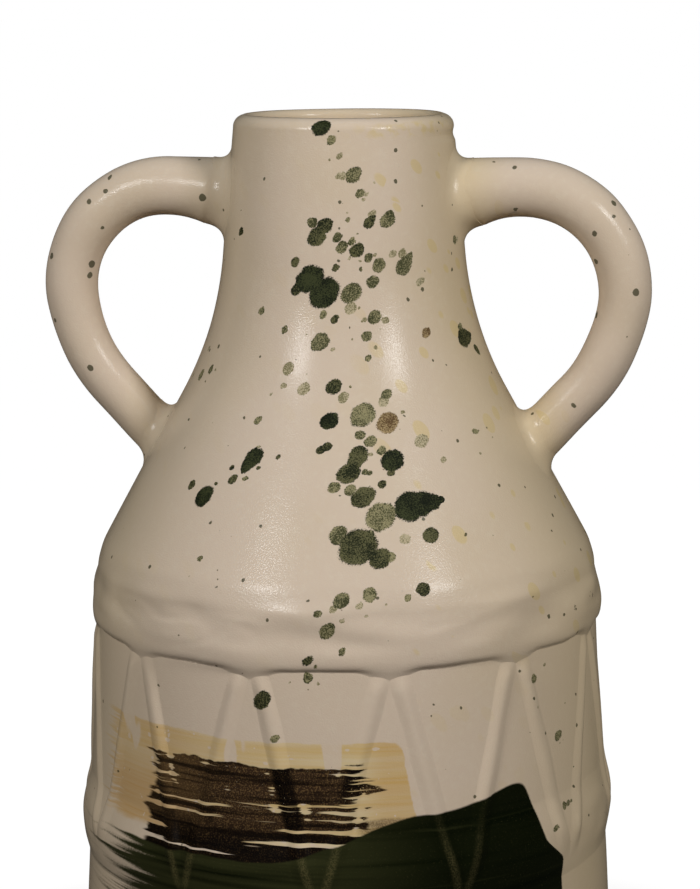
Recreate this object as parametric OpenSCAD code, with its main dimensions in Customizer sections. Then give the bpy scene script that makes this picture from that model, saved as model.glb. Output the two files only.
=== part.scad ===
// Two-handled amphora vase with a laced-drum relief, in millimetres.
// The origin is on the axis, at the level that the foot stands on, with +Z up and the handles along X.
// Each node is one piece of clay as it is made before it is joined with slip: the turned sections
// of the wall, the coils, the lace strips, the pulled handles and the coils thumbed round their roots.

/* [Body] */
// Radius of the drum at its base, outside
base_r = 110.5; // [104:0.5:120]
// Radius of the corner between drum and shoulder, outside, before rounding
shoulder_r = 98.8; // [92:0.2:104]
// Radius of the corner between shoulder and neck, outside, before rounding
neck_root_r = 50.4; // [47:0.2:56]
// Radius at the top of the neck, outside
neck_top_r = 43.4; // [40:0.2:46]
// Height of the drum, from the underside of its floor to the shoulder corner
drum_h = 222; // [200:1:250]
// Height of the shoulder, from the drum corner to the neck corner
shoulder_h = 88; // [80:1:100]
// Height of the neck, from its corner to the underside of the rim
neck_h = 76; // [68:1:90]
// Thickness of the wall
wall_t = 7; // [5:0.25:9]
// Thickness of the floor
floor_t = 9; // [7:0.5:14]
// Radius of the curve where the shoulder flares out of the neck
flare_round = 140; // [90:5:160]
// Radius of the curve where the shoulder turns down into the drum
shoulder_round = 24; // [14:1:34]
// Radius of the heel, outside
heel_round = 8; // [3:0.5:12]
// Radius between the floor and the wall, inside
floor_round = 10; // [4:0.5:16]

/* [Seams] */
// Angle at which the bevelled edges of the wall sections fall towards the inside
seam_bevel = 30; // [0:1:40]
// Depth of the seam under the shoulder corner, covered by the drumhead band
shoulder_seam_drop = 8; // [4:0.5:14]
// Height of the neck seam over the neck corner
neck_seam_rise = 6; // [0:0.5:12]
// Gap between an applied piece and the wall that it lies on
seat_gap = 0.1; // [0.05:0.05:0.3]

/* [Rim] */
// Height of the rim coil
rim_h = 8; // [6:0.5:12]
// How far the rim coil stands proud of the wall, on each side
rim_proud = 0.2; // [0.1:0.1:1]

/* [Foot] */
// Height of the foot ring under the floor
foot_h = 6; // [3:0.5:12]
// Radius of the middle of the foot ring
foot_r = 90; // [70:1:94]
// Width of the foot ring
foot_w = 10; // [6:0.5:14]
// Depth of the groove in the floor that the foot ring is set into
foot_seat = 1.5; // [0.5:0.25:3]
// Chamfer of the foot ring's lower edges
foot_chamfer = 1.5; // [0.5:0.25:2.5]

/* [Drumhead band] */
// Height of the band of clay turned down over the shoulder
band_h = 27; // [20:0.5:34]
// How far the band's lower edge lies under the shoulder corner
band_drop = 27; // [22:0.5:36]
// Thickness of the band at its lower edge
band_edge = 1.9; // [1.6:0.1:4]
// Swell of the band over that edge
band_swell = 0.9; // [0.5:0.1:3]
// Depth of the dents pressed into the band
band_dent = 0.6; // [0:0.1:1.2]

/* [Lower hoop] */
// Height of the hoop
hoop_h = 37; // [26:0.5:44]
// Height of the hoop's lower edge over the underside of the floor
hoop_z = 99; // [80:1:112]
// Thickness of the hoop at its lower edge
hoop_edge = 1; // [0.6:0.1:3]
// Swell of the hoop over that edge
hoop_swell = 1.9; // [0.5:0.1:3.5]
// Depth of the dents pressed into the hoop
hoop_dent = 0.9; // [0:0.1:1.2]
// How much more the hoop swells on the left, and less on the right
hoop_lean = 0.6; // [0:0.1:0.8]

/* [Laces] */
// Number of points that the laces make round the drum
lace_points = 12; // [8:1:14]
// Direction of the first upper point, from the front towards the right
lace_turn = 17; // [0:1:30]
// Width of a lace strip
lace_w = 6.4; // [4:0.2:7]
// Height of a lace strip over the wall
lace_t = 1.8; // [1:0.1:2.4]
// How far the laces run down over the hoop, where they thin out
lace_lap = 19; // [6:0.5:22]
// Thickness of a lace strip along its edges
lace_edge = 0.3; // [0.2:0.1:0.6]
// Gap between the two strips that meet at a point
lace_gap = 0.6; // [0.3:0.1:2]

/* [Handles] */
// Distance from the top of the neck down to the crown of the handle
handle_drop = 9; // [8.2:0.1:14]
// Distance from the axis to the furthest point of the handle's centre line
handle_reach = 110.3; // [104:0.1:118]
// Length of the straight upper root, outside the neck
handle_root_run = 8; // [7:0.5:10]
// Radius of the crown, over which the handle climbs out of its upper root
handle_crown_r = 88; // [70:1:120]
// Radius of the upper bend
handle_bend_r = 40; // [34:0.5:44]
// Turn of the upper bend
handle_bend_turn = 99; // [92:1:106]
// Radius of the lower bend
handle_belly_r = 66; // [56:1:76]
// Turn at which the handle runs straight into the shoulder
handle_end_turn = 133; // [126:1:138]
// Diameter of the handle at its upper root
handle_root_d = 27; // [20:0.5:28]
// Diameter of the handle at its crown
handle_top_d = 23.5; // [18:0.5:26]
// Diameter of the handle at its lower root
handle_low_d = 20; // [16:0.5:24]
// Reach of the coil thumbed round each root, along the handle and along the wall
fillet_run = 7; // [4:0.5:8]

/* [Hidden] */
arc_step = 3;
turn_steps = 120;
hoop_steps = 96;
handle_sides = 24;
handle_crown_steps = 4;
handle_bend_steps = 14;
handle_belly_steps = 8;
fillet_steps = 5;
lace_steps = 5;
lap_steps = 4;
halving_steps = 26;

floor_z = foot_h + floor_t;
shoulder_z = foot_h + drum_h;
neck_z = shoulder_z + shoulder_h;
neck_top_z = neck_z + neck_h;
rim_top_z = neck_top_z + rim_h;
rim_w = wall_t + 2 * rim_proud;
band_z = shoulder_z - band_drop;
hoop_top_z = foot_h + hoop_z + hoop_h;
edge_feather = 0.4;
glaze = "#c6b59e";
bare_clay = "#a98f76";

lace_names = [for (i = [1 : 2 * lace_points]) str("lace_", i < 10 ? "0" : "", i)];

// Outline helpers, on [radius, height] points

function unit(v) = v / norm(v);
function half_turn(a) = a - 360 * round(a / 360);
function reversed(list) = [for (i = [len(list) - 1 : -1 : 0]) list[i]];

// Outward normal of the outline from a lower point to a higher one
function outward(low, high) = let (d = unit(high - low)) [d.y, -d.x];

// Corner of an outline moved inwards, the same distance from both of its sides
function moved_corner(low, corner, high, inset) =
    let (a = outward(low, corner), b = outward(corner, high))
    corner - inset * (a + b) / (1 + a * b);

// End of an outline moved inwards, along the level of that end
function moved_end(end, side, inset) = end - [inset / side.x, 0];

// Points on the arc that rounds a corner
function corner_arc(before, corner, after, radius) =
    let (
        a = unit(before - corner),
        b = unit(after - corner),
        half = acos(a * b) / 2,
        centre = corner + unit(a + b) * radius / sin(half),
        start = corner + a * radius / tan(half) - centre,
        stop = corner + b * radius / tan(half) - centre,
        from = atan2(start.y, start.x),
        turn = half_turn(atan2(stop.y, stop.x) - from),
        steps = max(3, ceil(abs(turn) / arc_step))
    )
    [for (i = [0 : steps]) let (a = from + turn * i / steps) centre + radius * [cos(a), sin(a)]];

// The wall's outline, from the base to the top of the neck

base_corner = [base_r, foot_h];
shoulder_corner = [shoulder_r, shoulder_z];
neck_corner = [neck_root_r, neck_z];
neck_end = [neck_top_r, neck_top_z];

function wall_corners(inset) = [
    moved_end(base_corner, outward(base_corner, shoulder_corner), inset),
    moved_corner(base_corner, shoulder_corner, neck_corner, inset),
    moved_corner(shoulder_corner, neck_corner, neck_end, inset),
    moved_end(neck_end, outward(neck_corner, neck_end), inset)
];

// Rounded outline at a depth inside the wall, from the shoulder up
function upper_line(corners, inset) = concat(
    corner_arc(corners[0], corners[1], corners[2], shoulder_round - inset),
    corner_arc(corners[1], corners[2], corners[3], flare_round + inset),
    [corners[3]]
);

outer_corners = wall_corners(0);
inner_corners = wall_corners(wall_t);
inner_floor_r = inner_corners[0].x - (floor_t / drum_h) * (base_r - shoulder_r);
outer_line = concat(
    corner_arc([0, foot_h], base_corner, shoulder_corner, heel_round),
    upper_line(outer_corners, 0)
);
inner_line = concat(
    corner_arc([0, floor_z], [inner_floor_r, floor_z], inner_corners[1], floor_round),
    upper_line(inner_corners, wall_t)
);
outer_radii = [for (p = outer_line) [p.y, p.x]];
function outer_r(z) = lookup(z, outer_radii);

// Section of the whole pot, without rim and foot
module pot_section() {
    polygon(concat([[0, foot_h]], outer_line, reversed(inner_line), [[0, floor_z]]));
}

// Everything inside the wall's outer surface
module pot_core() {
    rotate_extrude($fn = turn_steps) polygon(concat([[0, foot_h]], outer_line, [[0, neck_top_z]]));
}

// Seams between the wall sections: [outer point, fall towards the inside]

floor_seam = [base_corner, -atan2(floor_t, base_r - inner_floor_r)];
shoulder_seam_z = shoulder_z - shoulder_seam_drop;
shoulder_seam = [[outer_r(shoulder_seam_z), shoulder_seam_z], seam_bevel];
neck_seam_z = neck_z + neck_seam_rise;
neck_seam = [[outer_r(neck_seam_z), neck_seam_z], seam_bevel];
rim_seam = [neck_end, seam_bevel];
section_r = 1.5 * base_r;

function seam_point(seam, r) = [r, seam[0].y - (seam[0].x - r) * tan(seam[1])];
function seam_line(seam) = [seam_point(seam, 0), seam_point(seam, section_r)];

module below_seam(seam) {
    polygon(concat(seam_line(seam), [[section_r, -section_r], [0, -section_r]]));
}

module above_seam(seam) {
    polygon(concat(seam_line(seam), [[section_r, 2 * rim_top_z], [0, 2 * rim_top_z]]));
}

// One turned section of the wall, between two seams
module wall_ring(low_seam, high_seam) {
    color(glaze) rotate_extrude($fn = turn_steps) intersection() {
        pot_section();
        above_seam(low_seam);
        below_seam(high_seam);
    }
}

module drum_wall() { wall_ring(floor_seam, shoulder_seam); }

module shoulder_cone() { wall_ring(shoulder_seam, neck_seam); }

module neck_tube() { wall_ring(neck_seam, rim_seam); }

module foot_section() {
    inner = foot_r - foot_w / 2;
    outer = foot_r + foot_w / 2;
    top = foot_h + foot_seat;
    polygon([
        [inner + foot_chamfer, 0], [outer - foot_chamfer, 0], [outer, foot_chamfer],
        [outer, top], [inner, top], [inner, foot_chamfer]
    ]);
}

module foot_ring() {
    color(bare_clay) rotate_extrude($fn = turn_steps) foot_section();
}

module base_slab() {
    color(glaze) rotate_extrude($fn = turn_steps) difference() {
        intersection() {
            pot_section();
            below_seam(floor_seam);
        }
        foot_section();
    }
}

// Round-topped coil on the bevelled top of the neck
module rim_coil() {
    middle_r = neck_top_r - wall_t / 2;
    coil_r = rim_w / 2;
    color(glaze) rotate_extrude($fn = turn_steps) intersection() {
        union() {
            translate([middle_r, rim_top_z - coil_r]) circle(coil_r, $fn = turn_steps);
            translate([middle_r - coil_r, neck_top_z - rim_h]) square([rim_w, 2 * rim_h - coil_r]);
        }
        above_seam(rim_seam);
    }
}

// Solids through a row of rings of points, closed into a loop or capped at both ends
module loft(rings, looped) {
    count = len(rings);
    sides = len(rings[0]);
    spans = looped ? count : count - 1;
    walls = [for (i = [0 : spans - 1], j = [0 : sides - 1])
        let (a = i * sides, b = ((i + 1) % count) * sides, k = (j + 1) % sides)
        each [[a + j, b + j, b + k], [a + j, b + k, a + k]]];
    low_cap = [for (j = [1 : sides - 2]) [0, j, j + 1]];
    last = (count - 1) * sides;
    high_cap = [for (j = [1 : sides - 2]) [last, last + j + 1, last + j]];
    polyhedron([for (ring = rings) each ring], looped ? walls : concat(low_cap, walls, high_cap));
}

// Point at a radius, a height and an angle from the front towards the right
function around(r, turn, z) = [r * sin(turn), -r * cos(turn), z];

// Radius of the seat of an applied piece whose facets span the given angle
function seat_r(z, facet) = outer_r(z) / cos(facet / 2) + seat_gap;

// Dents of hand-pressed clay, from -1 to 1: waves of [count round the pot, start, lean up the piece]
dent_waves = [[5, 40, 110], [7, 200, -150], [12, 75, 60]];
function dents(turn, up) =
    let (waves = [for (w = dent_waves) sin(w[0] * turn + w[1] + w[2] * up)])
    (waves[0] + waves[1] + waves[2]) / len(waves);

// Section of an applied ring: up its outer face and down the wall
function ring_section(turn, facet, low, height, outer_ups, inner_ups, thickness) = concat(
    [for (i = [0 : len(outer_ups) - 1]) let (z = low + height * outer_ups[i])
        around(seat_r(z, facet) + thickness[i], turn, z)],
    [for (up = inner_ups) let (z = low + height * up) around(seat_r(z, facet), turn, z)]
);

band_ups = [0, 0.08, 0.22, 0.38, 0.54, 0.7, 0.86, 1];
band_seat_ups = [1, 0.86, 0.7, 0.54, 0.38, 0];
band_sag = 0.8;
function band_thickness(turn) = [for (up = band_ups)
    edge_feather + (band_edge - edge_feather) * (1 - up)
        + sin(180 * pow(up, band_sag)) * (band_swell + band_dent * dents(turn, up))];

// Band of clay turned down over the shoulder, thin at its top and with a hanging lower edge
module drumhead_band() {
    facet = 360 / turn_steps;
    color(glaze) loft([for (i = [0 : turn_steps - 1]) let (turn = i * facet)
        ring_section(turn, facet, band_z, band_h, band_ups, band_seat_ups, band_thickness(turn))], true);
}

hoop_low_z = foot_h + hoop_z;
hoop_facet = 360 / hoop_steps;
hoop_ups = [0, 0.06, 0.16, 0.32, 0.5, 0.68, 0.84, 1];
hoop_seat_ups = [1, 0];
hoop_dent_turn = 17;
function hoop_t(turn, up) =
    edge_feather + (hoop_edge - edge_feather) * (1 - up)
        + sin(180 * up)
            * (hoop_swell - hoop_lean * sin(turn) + hoop_dent * dents(turn + hoop_dent_turn, up));
function hoop_thickness(turn) = [for (up = hoop_ups) hoop_t(turn, up)];

// Swelling hoop that the laces are drawn down to
module lower_hoop() {
    color(glaze) loft([for (i = [0 : hoop_steps - 1]) let (turn = i * hoop_facet)
        ring_section(turn, hoop_facet, hoop_low_z, hoop_h, hoop_ups, hoop_seat_ups, hoop_thickness(turn))],
        true);
}

// Lace strips, in pairs that meet at points under the band and on the hoop

lace_sides = [-1, -0.6, -0.2, 0.2, 0.6, 1];
lace_pitch = 360 / lace_points;
lace_low_z = hoop_top_z - lace_lap;
lace_end_share = 0.15;

// Radius of the wall, or of the hoop where that lies on it
function relief_r(turn, z) =
    z > hoop_top_z ? outer_r(z) : seat_r(z, hoop_facet) + hoop_t(turn, (z - hoop_low_z) / hoop_h);

// Swell of a strip over its edges, less and less over the hoop
function lace_swell(z) =
    (lace_t - lace_edge) * min(1, lace_end_share + (1 - lace_end_share) * (z - lace_low_z) / lace_lap);

// Angle that a length along the wall takes up at a height
function turn_of(length, z) = length / outer_r(z) * 180 / PI;

// Section of a strip, level, across the line that it follows
function lace_section(turn, z) =
    let (half = turn_of(lace_w, z) / 2)
    concat(
        [for (s = lace_sides) let (a = turn + s * half)
            around(relief_r(a, z) + seat_gap + lace_edge + lace_swell(z) * (1 - s * s), a, z)],
        [for (s = [1, 0, -1]) let (a = turn + s * half) around(relief_r(a, z) + seat_gap, a, z)]
    );

lace_levels = concat(
    [for (i = [0 : lap_steps]) lace_low_z + lace_lap * i / lap_steps],
    [for (i = [1 : lace_steps]) hoop_top_z + (band_z - hoop_top_z) * i / lace_steps]
);

module lace(index) {
    lean = index % 2 == 1 ? 1 : -1;
    point = lace_turn + lace_pitch * floor((index - 1) / 2);
    apart = lace_w + lace_gap;
    high_turn = point + lean * turn_of(apart, band_z) / 2;
    low_turn = point + lean * (lace_pitch - turn_of(apart, lace_low_z)) / 2;
    color(glaze) loft([for (z = lace_levels) let (s = (z - lace_low_z) / (band_z - lace_low_z))
        lace_section(low_turn + s * (high_turn - low_turn), z)], false);
}

// Handles, drawn in the [x, z] plane on the right

handle_z = neck_top_z - handle_drop - handle_top_d / 2;
bend_centre = [handle_reach - handle_bend_r, handle_z - handle_bend_r];
function swing(angle) = [sin(angle), cos(angle)];
function heading(angle) = [cos(angle), -sin(angle)];
crown_centre = bend_centre + (handle_bend_r - handle_crown_r) * swing(0);
handle_climb = asin((bend_centre.x - outer_r(handle_z) - handle_root_run) / handle_crown_r);
belly_centre = bend_centre + (handle_bend_r - handle_belly_r) * swing(handle_bend_turn);
upper_start = crown_centre + handle_crown_r * swing(-handle_climb);
lower_start = belly_centre + handle_belly_r * swing(handle_end_turn);

// Points in space from a point in the handle's plane and a distance to the side
function in_space(p, side) = [p.x, side, p.y];
function in_pot(p) = norm([p.x, p.y]) < outer_r(p.z);

// Distance from a point outside the pot to its surface, by halving
function reach_in(from, way, near, far, left) =
    left == 0 ? far :
    let (middle = (near + far) / 2)
    in_pot(from + way * middle)
        ? reach_in(from, way, near, middle, left - 1)
        : reach_in(from, way, middle, far, left - 1);

function to_wall(from, way) = reach_in(from, way, 0, from.x / -way.x, halving_steps);

upper_way = heading(180 - handle_climb);
lower_way = heading(handle_end_turn);
upper_run = to_wall(in_space(upper_start, 0), in_space(upper_way, 0));
lower_run = to_wall(in_space(lower_start, 0), in_space(lower_way, 0));

// Round section of the handle at a point, square to its heading
function handle_ring(p, angle, r) =
    [for (i = [0 : handle_sides - 1]) let (a = 360 * i / handle_sides)
        in_space(p + r * cos(a) * swing(angle), r * sin(a))];

function handle_r(share) = (handle_top_d + share * (handle_low_d - handle_top_d)) / 2;
function crown_r(share) = (handle_top_d + share * share * (handle_root_d - handle_top_d)) / 2;
handle_sink = wall_t / 2;

function crown_rings() = [for (i = [handle_crown_steps : -1 : 1])
    let (share = i / handle_crown_steps, a = -handle_climb * share)
    handle_ring(crown_centre + handle_crown_r * swing(a), a, crown_r(share))];

function bend_rings() = [for (i = [0 : handle_bend_steps])
    let (a = handle_bend_turn * i / handle_bend_steps)
    handle_ring(bend_centre + handle_bend_r * swing(a), a, handle_r(a / handle_end_turn))];

function belly_rings() = [for (i = [1 : handle_belly_steps])
    let (a = handle_bend_turn + (handle_end_turn - handle_bend_turn) * i / handle_belly_steps)
    handle_ring(belly_centre + handle_belly_r * swing(a), a, handle_r(a / handle_end_turn))];

// Pulled handle, its two ends cut to lie on the neck and on the shoulder
module handle() {
    upper_end = upper_start + upper_way * (upper_run + handle_sink);
    lower_end = lower_start + lower_way * (lower_run + handle_sink + handle_low_d / 2);
    color(glaze) difference() {
        loft(concat(
            [handle_ring(upper_end, -handle_climb, crown_r(1))],
            crown_rings(),
            bend_rings(),
            belly_rings(),
            [handle_ring(lower_end, handle_end_turn, handle_r(1))]
        ), false);
        pot_core();
    }
}

// Section of the coil thumbed into the corner between handle and wall
function fillet_section(start, way, across, r) =
    let (
        dir = in_space(way, 0),
        near = in_space(start, 0) + (r + seat_gap) * across,
        half = near + fillet_run / 2 * across,
        wide = near + fillet_run * across,
        corner = near + dir * (to_wall(near, dir) - seat_gap),
        up = corner - dir * fillet_run,
        mid = half + dir * (to_wall(half, dir) - seat_gap),
        out = wide + dir * (to_wall(wide, dir) - seat_gap)
    )
    concat(
        [for (i = [0 : fillet_steps]) let (s = i / fillet_steps)
            pow(1 - s, 2) * up + 2 * s * (1 - s) * corner + s * s * out],
        [mid, corner]
    );

module root_fillet(start, way, r) {
    square_to = [-way.y, way.x];
    color(glaze) loft([for (i = [0 : handle_sides - 1]) let (a = 360 * i / handle_sides)
        fillet_section(start, way, in_space(cos(a) * square_to, sin(a)), r)], true);
}

module upper_fillet() { root_fillet(upper_start, upper_way, crown_r(1)); }

module lower_fillet() { root_fillet(lower_start, lower_way, handle_r(1)); }

module on_left() { mirror([1, 0, 0]) children(); }

foot_ring();
base_slab();
drum_wall();
shoulder_cone();
neck_tube();
rim_coil();
drumhead_band();
lower_hoop();
on_left() handle();  // left_handle
handle();  // right_handle
on_left() upper_fillet();  // left_upper_fillet
on_left() lower_fillet();  // left_lower_fillet
upper_fillet();  // right_upper_fillet
lower_fillet();  // right_lower_fillet
for (i = [1 : 2 * lace_points]) lace(i);
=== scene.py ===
# Two-handled amphora vase with a laced-drum relief: its clay forms, glazes, light and camera.
# Sizes are in millimetres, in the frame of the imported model, and become metres in add_piece.
import math
import random
from types import SimpleNamespace

import bmesh
import bpy
import numpy as np
from mathutils import Euler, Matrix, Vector, noise


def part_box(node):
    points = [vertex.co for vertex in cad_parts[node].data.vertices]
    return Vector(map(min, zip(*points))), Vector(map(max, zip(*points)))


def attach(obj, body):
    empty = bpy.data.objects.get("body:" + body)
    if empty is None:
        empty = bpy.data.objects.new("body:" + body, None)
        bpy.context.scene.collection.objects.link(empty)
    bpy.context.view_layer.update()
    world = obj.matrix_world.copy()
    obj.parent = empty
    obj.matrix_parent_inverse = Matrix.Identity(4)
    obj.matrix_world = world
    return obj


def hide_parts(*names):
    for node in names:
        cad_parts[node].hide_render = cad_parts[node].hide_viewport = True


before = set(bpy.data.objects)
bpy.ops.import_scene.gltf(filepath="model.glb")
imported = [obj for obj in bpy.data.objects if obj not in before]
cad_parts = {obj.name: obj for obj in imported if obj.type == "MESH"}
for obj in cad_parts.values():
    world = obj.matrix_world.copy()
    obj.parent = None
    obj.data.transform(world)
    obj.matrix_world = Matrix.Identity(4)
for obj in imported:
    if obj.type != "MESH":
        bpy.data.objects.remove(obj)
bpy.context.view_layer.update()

MM = 0.001


def node_box(node):
    """Lowest and highest corner of a solid, in millimetres."""
    return [np.array(corner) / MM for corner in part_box(node)]


# Camera, where the photograph was taken from

# The photograph shows the vase turned a little, so that its face lies to the right of the front.
FACE_TURN = math.radians(8)
CAMERA_SHIFT = 1.8
CAMERA_AWAY = 1030.0
CAMERA_HEIGHT = 450.0
CAMERA_PITCH = math.radians(10)
CAMERA_ROLL = math.radians(-0.35)
CAMERA_LENS = 106.1

camera = bpy.data.objects.new("camera", bpy.data.cameras.new("camera"))
camera.data.lens = CAMERA_LENS
camera.data.clip_end = 200.0
face = Euler((0, 0, FACE_TURN))
camera.location = Vector((CAMERA_SHIFT, -CAMERA_AWAY, CAMERA_HEIGHT)) * MM
camera.location.rotate(face)
camera.rotation_euler = (math.pi / 2 - CAMERA_PITCH, 0, FACE_TURN)
camera.rotation_euler.rotate_axis("Z", CAMERA_ROLL)
bpy.context.scene.collection.objects.link(camera)
bpy.context.scene.camera = camera

# Outline of the wall, on [radius, height] points

BASE_R = 110.5
SHOULDER_R = 98.8
NECK_ROOT_R = 50.4
NECK_TOP_R = 43.4
WALL_T = 7.0
FOOT_H = 6.0
FLOOR_Z = 15.0
SHOULDER_Z = 228.0
NECK_Z = 316.0
NECK_TOP_Z = 392.0
RIM_TOP_Z = node_box("rim_coil")[1][2]
HEEL_ROUND = 8.3
SHOULDER_ROUND = 24.0
FLARE_ROUND = 140.0
FLOOR_ROUND = 10.0


def unit(v):
    """Vector of length 1 in the same direction."""
    return v / np.linalg.norm(v)


def corner_arc(before, corner, after, radius, steps=24):
    """Points on the arc that rounds a corner."""
    before, corner, after = np.array(before), np.array(corner), np.array(after)
    a, b = unit(before - corner), unit(after - corner)
    half = math.acos(a @ b) / 2
    centre = corner + unit(a + b) * radius / math.sin(half)
    start = corner + a * radius / math.tan(half) - centre
    stop = corner + b * radius / math.tan(half) - centre
    first = math.atan2(start[1], start[0])
    turn = math.remainder(math.atan2(stop[1], stop[0]) - first, 2 * math.pi)
    angles = first + turn * np.linspace(0, 1, steps + 1)
    return centre + radius * np.column_stack([np.cos(angles), np.sin(angles)])


base_corner = (BASE_R, FOOT_H)
shoulder_corner = (SHOULDER_R, SHOULDER_Z)
neck_corner = (NECK_ROOT_R, NECK_Z)
neck_end = (NECK_TOP_R, NECK_TOP_Z)
neck_lean = (NECK_TOP_R - NECK_ROOT_R) / (NECK_TOP_Z - NECK_Z)
rim_end = (NECK_TOP_R + neck_lean * (RIM_TOP_Z - NECK_TOP_Z), RIM_TOP_Z)
heel_line = corner_arc((0, FOOT_H), base_corner, shoulder_corner, HEEL_ROUND)
outer_line = np.vstack([
    heel_line,
    corner_arc(base_corner, shoulder_corner, neck_corner, SHOULDER_ROUND),
    corner_arc(shoulder_corner, neck_corner, neck_end, FLARE_ROUND),
    [neck_end, rim_end],
])


def outer_r(z):
    """Radius of the wall's outer face before it was touched by hand."""
    return np.interp(z, outer_line[:, 1], outer_line[:, 0])


def inner_r(z):
    """Radius of the wall's inner face, with the round corner above the floor."""
    slope = (outer_r(z + 1) - outer_r(z - 1)) / 2
    wall = outer_r(z) - WALL_T * np.sqrt(1 + slope ** 2)
    lift = np.clip((FLOOR_Z + FLOOR_ROUND - z) / FLOOR_ROUND, 0, 1)
    return wall - FLOOR_ROUND * (1 - np.sqrt(1 - lift ** 2))


# Hand-made unevenness: soft random fields over the pot's surface

def around(turn, r, z):
    """Points at a radius, a height and an angle from the front towards the right."""
    turn, r, z = np.broadcast_arrays(turn, r, z)
    return np.stack([r * np.sin(turn), -r * np.cos(turn), z], axis=-1)


def field(points, size, seed):
    """Soft random field from about -1 to 1 at the points, with lumps of about that size."""
    shift = Vector((3.7, 9.1, 5.3)) * seed
    flat = points.reshape(-1, 3) / size
    values = [noise.noise(Vector(p) + shift) for p in flat]
    return np.array(values).reshape(points.shape[:-1])


def bell(x):
    """Soft bump of height 1 that runs out flat at -1 and 1."""
    return np.clip(1 - np.square(x), 0, None) ** 2


def ease(x, low, high):
    """Smooth step from 0 at low to 1 at high."""
    s = np.clip((x - low) / (high - low), 0, 1)
    return s * s * (3 - 2 * s)


WALL_SWAY = 0.45
WALL_DIMPLE = 0.14
# Heights between which the unevenness comes in and runs out
SWAY_START = (22, 64)
SWAY_END = (388, 399)
CREASE_TURN = FACE_TURN + math.radians(84)
CREASE_SPAN = math.radians(46)
CREASE_HALF = 3.0
CREASE_DEPTH = 0.7


def surface_r(turn, z):
    """Radius of the finished outer face: a little uneven, with a crease under the rim on the right."""
    turn, z = np.broadcast_arrays(turn, z)
    at = around(turn, outer_r(z), z)
    free = ease(z, *SWAY_START) * (1 - ease(z, *SWAY_END))
    sway = WALL_SWAY * field(at, 85, 1) + WALL_DIMPLE * field(at, 24, 2)
    crease = CREASE_DEPTH * bell((turn - CREASE_TURN) / CREASE_SPAN) * bell((z - NECK_TOP_Z) / CREASE_HALF)
    return outer_r(z) + free * sway - crease


# Making of pieces

def add_piece(node, rows, material, ring=True, sharp=38):
    """Closed skin over rows of points. Each row is a loop, and the rows make a ring or get end caps."""
    count, sides = rows.shape[:2]
    i, j = np.meshgrid(np.arange(count if ring else count - 1), np.arange(sides), indexing="ij")
    below, above = i * sides, (i + 1) % count * sides
    ahead = (j + 1) % sides
    corners = [below + j, below + ahead, above + ahead, above + j]
    quads = np.stack(corners, axis=-1).reshape(-1, 4).tolist()
    if not ring:
        last = (count - 1) * sides
        quads += [list(range(sides)), list(range(last, last + sides))]
    mesh = bpy.data.meshes.new(node + "_skin")
    mesh.from_pydata((rows.reshape(-1, 3) * MM).tolist(), [], quads)
    shape = bmesh.new()
    shape.from_mesh(mesh)
    bmesh.ops.recalc_face_normals(shape, faces=shape.faces)
    shape.to_mesh(mesh)
    shape.free()
    mesh.shade_smooth()
    mesh.set_sharp_from_angle(angle=math.radians(sharp))
    mesh.materials.append(material)
    piece = bpy.data.objects.new(node + "_skin", mesh)
    bpy.context.scene.collection.objects.link(piece)
    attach(piece, "root")
    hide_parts(node)
    return piece


def turns(count):
    """Angles that share out the full turn."""
    return np.linspace(0, 2 * math.pi, count, endpoint=False)


def levels(low, high, step):
    """Numbers from low to high, about one step apart."""
    return np.linspace(low, high, max(2, round(abs(high - low) / step) + 1))


# Turned wall sections

WALL_TURNS = 400
SHOULDER_SEAM_Z = SHOULDER_Z - 8
NECK_SEAM_Z = NECK_Z + 6
SEAM_FALL = WALL_T * math.tan(math.radians(30))
INNER_FOOT_Z = FLOOR_Z + 0.4
# Heights where the closer rows of the wall's skin end or start
CORNER_ROWS_END = 26.0
SHOULDER_ROWS_END = 240.0
NECK_ROWS_START = 384.0
THROW_STEP = 7.0
THROW_DEPTH = 0.3
# Heights between which the ridges come in and run out
THROW_START = (26, 40)
THROW_END = (380, 390)


def thrown_inside(turn, z):
    """Radius inside the wall, with the spiral ridges of throwing."""
    ridges = np.sin(2 * math.pi * z / THROW_STEP + turn)
    return inner_r(z) + THROW_DEPTH * ridges * ease(z, *THROW_START) * (1 - ease(z, *THROW_END))


def wall_rows(outer_levels, inner_levels):
    """Rows up the outer face and down the inner one."""
    turn = turns(WALL_TURNS)
    outside = [around(turn, surface_r(turn, z), z) for z in outer_levels]
    inside = [around(turn, thrown_inside(turn, z), z) for z in inner_levels[::-1]]
    return np.array(outside + inside)


def drum_wall(material):
    """Drum, with closer rows round its heel and in the round corner above the floor."""
    heel = heel_line[len(heel_line) // 2:, 1]
    outer = np.concatenate([heel, levels(heel[-1] + 2, SHOULDER_SEAM_Z, 2.5)])
    inner = np.concatenate([
        levels(INNER_FOOT_Z, CORNER_ROWS_END, 1.5),
        levels(CORNER_ROWS_END + 2, SHOULDER_SEAM_Z - SEAM_FALL, 2.0),
    ])
    add_piece("drum_wall", wall_rows(outer, inner), material)


def shoulder_cone(material):
    """Shoulder, with closer rows on its round and below the seam of the neck."""
    outer = np.concatenate([
        levels(SHOULDER_SEAM_Z, SHOULDER_ROWS_END, 1.0),
        levels(SHOULDER_ROWS_END + 1.5, NECK_SEAM_Z - 4, 1.5),
        levels(NECK_SEAM_Z - 3.2, NECK_SEAM_Z, 0.8),
    ])
    inner = levels(SHOULDER_SEAM_Z - SEAM_FALL, NECK_SEAM_Z - SEAM_FALL, 2.0)
    add_piece("shoulder_cone", wall_rows(outer, inner), material)


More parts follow.
